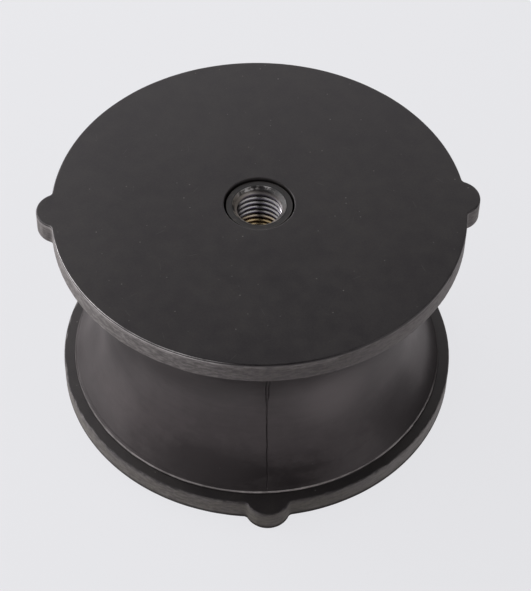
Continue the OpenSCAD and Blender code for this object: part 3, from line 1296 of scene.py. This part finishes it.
@dataclass
class RubberBody:
    """The moulded block: one arc from lip to lip, a thin lip at each plate and the mould's parting groove.

    Attributes:
        sizes: The mount's sizes.
        lip_w: Width of the flat on top of a lip.
        lip_h: Height of a lip on its plate.
        lip_round: Rounding of a lip's edge.
        lip_crease: Depth of the crease just inside a lip.
        waist_depth: How far the waist is drawn in from the inside of the lip.
        groove_w: Width of the parting groove.
        groove_depth: Depth of the parting groove.
        groove_split: How far each of its two lines stands off the middle in the upper half.
        mould_step: How far one half of the mould stood behind the other.
        waviness: How uneven the moulded side is.
        lip_waviness: How uneven the lips are.
        wander: How far the groove wanders off its line.
        step_reach: How far from the groove the mould's step fades.
        crease_w: Half width of the crease.
        columns: How many faces go once round.
        arc_rows: How many rows the side has.
        end_rows: How many rows each of its ends has.
        end_share: Share of the side at which an end starts.
    """

    GROOVE_MARK = "groove"

    sizes: MountSizes
    lip_w: float = 0.5 * MM
    lip_h: float = 1.0 * MM
    lip_round: float = 0.25 * MM
    lip_crease: float = 0.12 * MM
    waist_depth: float = 13.0 * MM
    groove_w: float = 1.4 * MM
    groove_depth: float = 0.4 * MM
    groove_split: float = 0.52 * MM
    mould_step: float = 0.12 * MM
    waviness: float = 0.3 * MM
    lip_waviness: float = 0.25 * MM
    wander: float = 1.4 * MM
    step_reach: float = 14.0 * MM
    crease_w: float = 0.6 * MM
    columns: int = 320
    arc_rows: int = 73
    end_rows: int = 19
    end_share: float = 0.9

    def build(self, name: str, material: bpy.types.Material) -> bpy.types.Object:
        """Makes the rubber's mesh.

        Args:
            name: The piece's name.
            material: The rubber's material.

        Returns:
            The finished piece.
        """
        tree = LatheTree(name, self.columns, crowding=0.9)
        height = tree.size("Height", self.sizes.height)
        plate_t = tree.size("Plate thickness", self.sizes.plate_t)
        pocket_r = tree.size("Pocket radius", self.sizes.shoulder_r)
        pocket_end = tree.size("Pocket end", self.sizes.insert_end)
        lip_r = tree.size("Lip radius", self.sizes.lip_r)
        lip_w = tree.size("Lip width", self.lip_w)
        lip_h = tree.size("Lip height", self.lip_h)
        lip_round = tree.size("Lip rounding", self.lip_round)
        waist_depth = tree.size("Waist depth", self.waist_depth)
        arc_rows = tree.size("Arc rows", self.arc_rows)
        end_rows = tree.size("End rows", self.end_rows)

        flare_r, flare_z = lip_r - lip_w, plate_t + lip_h
        rise = height * 0.5 - flare_z
        arc_r = (rise * rise + waist_depth * waist_depth) / (waist_depth * 2.0)
        arc_x = flare_r - waist_depth + arc_r
        widest = tree.maths("ARCSINE", rise / arc_r)
        quarter = tree.along * (math.pi / 2.0)
        axis, edge_r, top = 0.0 * height, lip_r - lip_round, height - flare_z

        tree.straight((axis, pocket_end), (pocket_r, pocket_end), (pocket_r, plate_t),
                      (lip_r, plate_t), (lip_r, flare_z - lip_round))
        tree.strip(5, edge_r + lip_round * quarter.cos(), flare_z - lip_round + lip_round * quarter.sin())
        tree.straight((edge_r, flare_z), (flare_r, flare_z))
        stops = ((end_rows, -1.0, -self.end_share), (arc_rows, -self.end_share, self.end_share),
                 (end_rows, self.end_share, 1.0))
        for rows, start, stop in stops:
            swing = widest * (start + (stop - start) * tree.along)
            tree.strip(rows, arc_x - arc_r * swing.cos(), height * 0.5 + arc_r * swing.sin())
        tree.straight((flare_r, top), (edge_r, top))
        tree.strip(5, edge_r + lip_round * quarter.sin(), top + lip_round - lip_round * quarter.cos())
        tree.straight((lip_r, top + lip_round), (lip_r, height - plate_t), (pocket_r, height - plate_t),
                      (pocket_r, height - pocket_end), (axis, height - pocket_end))
        offset, groove = self.mould_marks(tree, height, plate_t, flare_z)
        mesh = tree.shifted(tree.marked(tree.joined(), self.GROOVE_MARK, groove), offset)
        return tree.piece(name, mesh, material, sharp=38.0)

    def mould_marks(self, tree: LatheTree, height: Term, plate_t: Term, flare_z: Term) -> tuple[Term, Term]:
        """Works out how the mould's marks move the surface.

        Args:
            tree: The rubber's tree.
            height: The mount's height.
            plate_t: A plate's thickness.
            flare_z: The height of the lower lip's top.

        Returns:
            The offset of each point, and the mark of the parting groove.
        """
        x, y, z = tree.split(tree.place)
        radius = tree.maths("SQRT", x * x + y * y).at_least(MM)
        half_w = tree.size("Groove width", self.groove_w) * 0.5
        groove_depth = tree.size("Groove depth", self.groove_depth)
        step = tree.size("Mould step", self.mould_step)
        crease_depth = tree.size("Lip crease", self.lip_crease)
        waviness = tree.size("Waviness", self.waviness)
        outside = radius.rise(40.0 * MM, 45.0 * MM)
        to_plate = height * 0.5 - abs(z - height * 0.5)
        side = to_plate.rise(flare_z, flare_z + 1.2 * MM) * outside
        wander = tree.noise_at(tree.join(0.0 * z, 0.0 * z, z), 8.0 * MM, 2.0) - 0.5
        away = x - wander * self.wander
        split = (z / height).rise(0.46, 0.60) * tree.size("Groove split", self.groove_split)
        line = abs(abs(away) - split)
        groove = (1.0 - line.rise(0.05 * half_w, 0.5 * half_w)) * side
        behind = (1.0 - away.rise(-0.3 * MM, 0.3 * MM)) * (1.0 - abs(away).rise(1.0 * MM, self.step_reach))
        swell = (tree.noise_at(tree.place, 26.0 * MM, 1.0) - 0.5) * waviness * side
        crease = 1.0 - abs(to_plate - (flare_z + self.crease_w)).rise(0.0, self.crease_w)
        lip = (1.0 - to_plate.rise(flare_z, flare_z + 0.6 * MM)) * to_plate.rise(plate_t, plate_t + 0.3 * MM)
        ragged = tree.noise_at(tree.place, 4.0 * MM, 3.0, 0.6).rise(0.35, 0.75)
        inward = groove * groove_depth + behind * step * side + swell + crease * crease_depth * outside
        inward = inward + ragged * tree.size("Lip waviness", self.lip_waviness) * lip * outside
        return tree.vector("SCALE", Vector=tree.join(x / radius, y / radius, 0.0 * z), Scale=-inward), groove


@dataclass
class ThreadedInsert:
    """A turned bush with a blind tapped hole, its shoulder in the rubber and its pilot in the plate's hole.

    Attributes:
        sizes: The mount's sizes.
        pitch: The thread's pitch.
        thread_depth: How far the thread is cut past its core.
        mouth_chamfer: Width of the chamfer at the thread's mouth.
        pilot_wall: Wall of the pilot around the thread's core.
        pilot_edge: Chamfer of the pilot's outer edge.
        floor: Thickness left below the drilled hole.
        drill_angle: Point angle of the drilled hole, in degrees.
        columns: How many faces go once round.
        pitch_rows: How many rows one pitch has, so that each corner of the thread falls on a row.
        flank: How many rows a flank's top and bottom lie from the middle of a crest.
        run_out: How many pitches the thread takes to run out.
    """

    sizes: MountSizes
    pitch: float = 2.5 * MM
    thread_depth: float = 1.35 * MM
    mouth_chamfer: float = 1.8 * MM
    pilot_wall: float = 4.2 * MM
    pilot_edge: float = 0.12 * MM
    floor: float = 3.0 * MM
    drill_angle: float = 118.0
    columns: int = 128
    pitch_rows: int = 16
    flank: tuple[int, int] = (2, 7)
    run_out: float = 1.5

    def build(self, name: str, end: End, material: bpy.types.Material) -> bpy.types.Object:
        """Makes one insert's mesh.

        Args:
            name: The piece's name.
            end: The end of the mount that it sits in.
            material: The steel's material.

        Returns:
            The finished piece.
        """
        tree = LatheTree(name, self.columns)
        height = tree.size("Height", self.sizes.height)
        face = height - tree.size("Face depth", self.sizes.insert_face)
        seat = height - tree.size("Plate thickness", self.sizes.plate_t)
        foot = height - tree.size("End depth", self.sizes.insert_end)
        shoulder_r = tree.size("Shoulder radius", self.sizes.shoulder_r)
        core_r = tree.size("Core radius", self.sizes.core_r)
        pilot_r = core_r + tree.size("Pilot wall", self.pilot_wall)
        pilot_edge = tree.size("Pilot edge", self.pilot_edge)
        mouth_r = core_r + tree.size("Mouth chamfer", self.mouth_chamfer)
        drill_tip = foot + tree.size("Floor", self.floor)
        point = tree.size("Drill point", 1.0 / math.tan(math.radians(self.drill_angle / 2.0)))
        drill_rim = drill_tip + core_r * point

        tree.straight((0.0 * height, foot), (shoulder_r, foot), (shoulder_r, seat), (pilot_r, seat),
                      (pilot_r, face - pilot_edge), (pilot_r - pilot_edge, face), (mouth_r, face))
        self.tap(tree, core_r, mouth_r, face, drill_rim)
        tree.straight((core_r, drill_rim), (0.0 * height, drill_tip))
        over = (0.0, 0.0, 0.0) if end is End.TOP else (math.pi, 0.0, 0.0)
        lift = (0.0, 0.0, 0.0) if end is End.TOP else (0.0, 0.0, self.sizes.height)
        placed = tree.node("GeometryNodeTransform", inputs={
            "Geometry": tree.joined(),
            "Rotation": tree.size("Turn over", over),
            "Translation": tree.size("Lift", lift),
        })
        return tree.piece(name, tree.term(placed, "Geometry"), material, sharp=28.0)

    def tap(self, tree: LatheTree, core_r: Term, mouth_r: Term, face: Term, drill_rim: Term) -> None:
        """Adds the tapped wall, whose rows climb with the thread.

        Args:
            tree: The insert's tree.
            core_r: Radius of the thread's core.
            mouth_r: Radius of its mouth.
            face: Height of the pilot's face.
            drill_rim: Height of the rim of the drilled point.
        """
        pitch = tree.size("Pitch", self.pitch)
        cut = tree.size("Thread depth", self.thread_depth)
        drilled = self.sizes.insert_end - self.sizes.insert_face - self.floor
        turns = math.ceil(drilled / self.pitch) + 1
        climb = face + pitch * (tree.turn - tree.along * float(turns))
        height = climb.at_most(face).at_least(drill_rim)
        phase = ((height - face) / pitch - tree.turn).fraction()
        from_crest = abs(phase - 0.5)
        flank = from_crest.ramp(*(row / self.pitch_rows for row in self.flank))
        run_out = height.rise(drill_rim, drill_rim + pitch * self.run_out)
        thread = core_r + cut * flank * run_out
        tree.strip(turns * self.pitch_rows + 1, thread.at_least(mouth_r - (face - height)), height)


def way_back(azimuth: float, elevation: float) -> Vector:
    """Gives the way from the mount to what looks at it.

    Args:
        azimuth: Degrees round the mount from the front, with the right-hand side at 90.
        elevation: Degrees above the horizon.

    Returns:
        A vector of length 1.
    """
    round_it, above = math.radians(azimuth), math.radians(elevation)
    return Vector((
        math.sin(round_it) * math.cos(above), -math.cos(round_it) * math.cos(above), math.sin(above)
    ))


@dataclass(frozen=True)
class SoftBox:
    """A square soft light that faces the mount."""

    name: str
    azimuth: float
    elevation: float
    distance: float
    width: float
    watts: float

    def build(self, target: Vector) -> None:
        """Makes the light, turned towards a target."""
        light = bpy.data.lights.new(self.name, "AREA")
        light.shape = "SQUARE"
        light.size = self.width
        light.energy = self.watts
        lamp = bpy.data.objects.new(self.name, light)
        back = way_back(self.azimuth, self.elevation)
        lamp.location = target + back * self.distance
        lamp.rotation_euler = back.to_track_quat("Z", "Y").to_euler()
        bpy.context.scene.collection.objects.link(lamp)


@dataclass
class Studio:
    """The pale floor, the soft lights, the dim room and the camera at the photograph's view.

    Attributes:
        sizes: The mount's sizes.
        lights: The soft lights.
        floor_width: Width of the floor.
        room: Brightness of the room around the floor.
        elevation: The camera's height above the horizon, in degrees.
        azimuth: The camera's turn round the mount, in degrees.
        distance: The camera's distance from the mount's middle.
        lens: The camera's focal length, in millimetres.
        frame_w: Width of the camera's frame, in millimetres.
        roll: The camera's turn about its own view, in degrees.
        pan: How far the view points to the right of the mount's middle, in degrees.
        tilt: How far it points above the mount's middle, in degrees.
    """

    sizes: MountSizes
    lights: tuple[SoftBox, ...] = (
        SoftBox("back_left_softbox", 217.0, 20.0, 1.05, 0.8, 6.8),
        SoftBox("far_left_softbox", 241.0, 20.0, 1.05, 0.8, 5.6),
        SoftBox("low_left_softbox", 268.0, 20.0, 1.05, 0.8, 4.0),
        SoftBox("back_softbox", 170.0, 20.0, 1.05, 0.8, 3.0),
        SoftBox("high_left_softbox", 285.0, 56.0, 1.15, 1.0, 1.8),
        SoftBox("high_right_softbox", 75.0, 54.0, 1.15, 1.0, 2.3),
        SoftBox("front_right_softbox", 60.0, 20.0, 1.05, 0.8, 1.6),
        SoftBox("front_left_softbox", 320.0, 20.0, 1.05, 0.8, 1.4),
    )
    floor_width: float = 16.0
    room: float = 0.01
    elevation: float = 48.700
    azimuth: float = -3.906
    distance: float = 0.79221
    lens: float = 120.08
    frame_w: float = 36.0
    roll: float = 0.960
    pan: float = 0.2240
    tilt: float = -0.2995

    def build(self) -> None:
        """Makes the floor, the lights, the room and the camera."""
        middle = Vector((0.0, 0.0, self.sizes.height / 2.0))
        self.lay_floor()
        for light in self.lights:
            light.build(middle)
        self.dim_room()
        self.set_camera(middle)
        bpy.context.scene.view_settings.view_transform = "Standard"

    def lay_floor(self) -> None:
        """Lays the floor under the mount."""
        half = self.floor_width / 2.0
        mesh = bpy.data.meshes.new("floor")
        corners = [(-half, -half, 0.0), (half, -half, 0.0), (half, half, 0.0), (-half, half, 0.0)]
        mesh.from_pydata(corners, [], [(0, 1, 2, 3)])
        mesh.materials.append(PaleFloor().material())
        floor = bpy.data.objects.new("floor", mesh)
        bpy.context.scene.collection.objects.link(floor)

    def dim_room(self) -> None:
        """Sets the world to a dim, even grey."""
        world = bpy.data.worlds.new("room")
        world.use_nodes = True
        world.node_tree.nodes.clear()
        tree = Tree(world.node_tree)
        glow = tree.node("ShaderNodeBackground", inputs={"Color": (self.room,) * 3 + (1.0,), "Strength": 1.0})
        tree.node("ShaderNodeOutputWorld", inputs={"Surface": tree.term(glow, "Background")})
        bpy.context.scene.world = world

    def set_camera(self, middle: Vector) -> None:
        """Sets the camera.

        Args:
            middle: The middle of the mount, which the view nearly points at.
        """
        azimuth, roll = math.radians(self.azimuth), math.radians(self.roll)
        back = way_back(self.azimuth, self.elevation)
        right = Vector((math.cos(azimuth), math.sin(azimuth), 0.0))
        up = back.cross(right)
        ahead = right * math.tan(math.radians(self.pan)) + up * math.tan(math.radians(self.tilt)) - back
        ahead.normalize()
        level = ahead.cross(up).normalized()
        upright = level.cross(ahead)
        across = level * math.cos(roll) + upright * math.sin(roll)
        upward = upright * math.cos(roll) - level * math.sin(roll)
        camera = bpy.data.objects.new("camera", bpy.data.cameras.new("camera"))
        camera.data.lens = self.lens
        camera.data.sensor_width = self.frame_w
        place = Matrix((across, upward, -ahead)).transposed().to_4x4()
        place.translation = middle + back * self.distance
        camera.matrix_world = place
        bpy.context.scene.collection.objects.link(camera)
        bpy.context.scene.camera = camera


def main() -> None:
    """Builds the studio and the mount's pieces in order."""
    logging.basicConfig(level=logging.INFO, format="%(message)s")
    sizes = MountSizes.from_frame(frame["record"])
    Studio(sizes).build()
    insert = ThreadedInsert(sizes)
    coat = BlackCoat().material()
    steel = TurnedSteel().material(sizes, insert)
    rubber = RubberBody(sizes).build("moulded_rubber", MouldedRubber().material(sizes))
    put_on_mount(rubber, "rubber_body")
    for end, seed in PLATE_SEEDS.items():
        plate = EndPlate(end, sizes, seed).build(f"coated_{end.value}_plate", coat)
        put_on_mount(plate, f"{end.value}_plate")
        bush = insert.build(f"tapped_{end.value}_insert", end, steel)
        put_on_mount(bush, f"{end.value}_threaded_insert")


if __name__ == "__main__":
    main()
